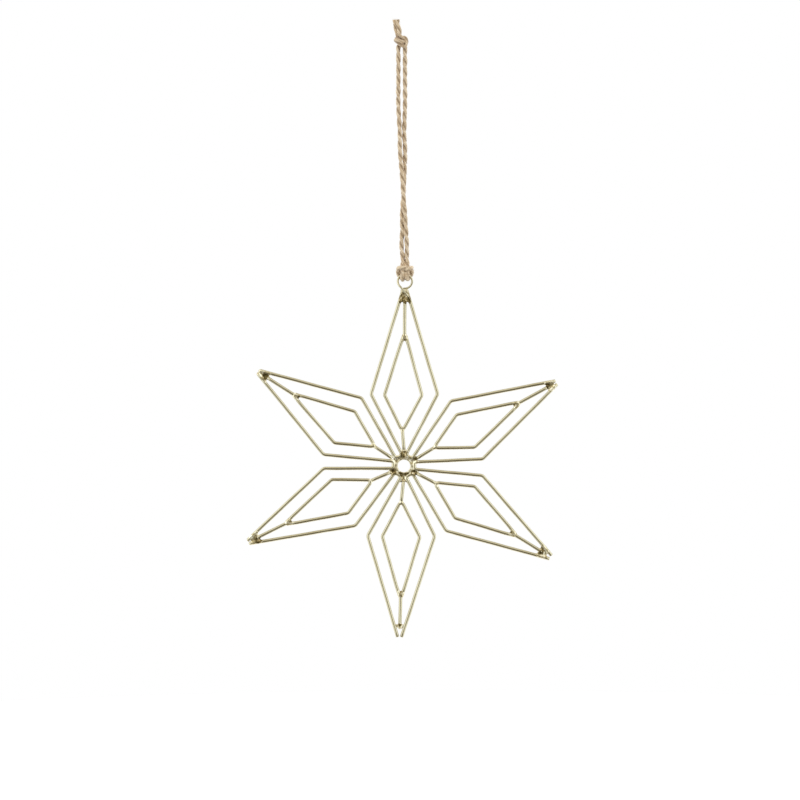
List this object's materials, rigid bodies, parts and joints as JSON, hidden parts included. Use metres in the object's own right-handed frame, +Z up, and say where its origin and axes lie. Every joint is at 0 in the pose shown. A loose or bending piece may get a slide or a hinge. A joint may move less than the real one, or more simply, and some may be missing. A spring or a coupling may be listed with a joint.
{
  "type": "hanging wire snowflake ornament",
  "caption": "Flat snowflake star of bent, brazed brass wire with diamond petals round a hub ring, hung by a knotted jute loop hitched to a small wire eye.",
  "frame": {"origin": "the hanging point, inside the twine loop just under its top knot", "axes": "+Z up along the twine, +X to the right across the star's front, +Y out of its back; the star hangs in the XZ plane"},
  "size_m": [0.1802, 0.0087, 0.356],
  "materials": {
    "star_wire": "satin pale brass wire",
    "braze": "dull brazed brass with dark olive stain",
    "twine": "two-ply natural jute twine"
  },
  "bodies": {
    "cord": {"cord_knot": "twine", "cord_leg_left": "twine", "cord_leg_right": "twine", "cord_tail_left": "twine", "cord_tail_right": "twine"},
    "hitch": {"cord_hitch": "twine"},
    "star": {"outer_wire_1": "star_wire", "outer_wire_2": "star_wire", "outer_wire_3": "star_wire", "outer_wire_4": "star_wire", "outer_wire_5": "star_wire", "outer_wire_6": "star_wire", "hub_ring": "star_wire", "diamond_top": "star_wire", "hub_link_top": "star_wire", "tip_link_top": "star_wire", "diamond_upper_right": "star_wire", "hub_link_upper_right": "star_wire", "tip_link_upper_right": "star_wire", "diamond_lower_right": "star_wire", "hub_link_lower_right": "star_wire", "tip_link_lower_right": "star_wire", "diamond_bottom": "star_wire", "hub_link_bottom": "star_wire", "tip_link_bottom": "star_wire", "diamond_lower_left": "star_wire", "hub_link_lower_left": "star_wire", "tip_link_lower_left": "star_wire", "diamond_upper_left": "star_wire", "hub_link_upper_left": "star_wire", "tip_link_upper_left": "star_wire", "hanging_eye": "star_wire", "tip_braze_top": "braze", "far_braze_top": "braze", "near_braze_top": "braze", "hub_braze_top": "braze", "tip_braze_upper_right": "braze", "far_braze_upper_right": "braze", "near_braze_upper_right": "braze", "hub_braze_upper_right": "braze", "tip_braze_lower_right": "braze", "far_braze_lower_right": "braze", "near_braze_lower_right": "braze", "hub_braze_lower_right": "braze", "tip_braze_bottom": "braze", "far_braze_bottom": "braze", "near_braze_bottom": "braze", "hub_braze_bottom": "braze", "tip_braze_lower_left": "braze", "far_braze_lower_left": "braze", "near_braze_lower_left": "braze", "hub_braze_lower_left": "braze", "tip_braze_upper_left": "braze", "far_braze_upper_left": "braze", "near_braze_upper_left": "braze", "hub_braze_upper_left": "braze"}
  },
  "joints": [
    {"name": "cord_twist", "type": "hinge", "parent": "cord", "child": "hitch", "pos_m": [0, 0, -0.122], "axis": [0, 0, 1], "range_deg": [-170, 170]},
    {"name": "eye_swing", "type": "hinge", "parent": "hitch", "child": "star", "pos_m": [0.0012, 0, -0.1302], "axis": [1, 0, 0], "range_deg": [-20, 20]}
  ]
}
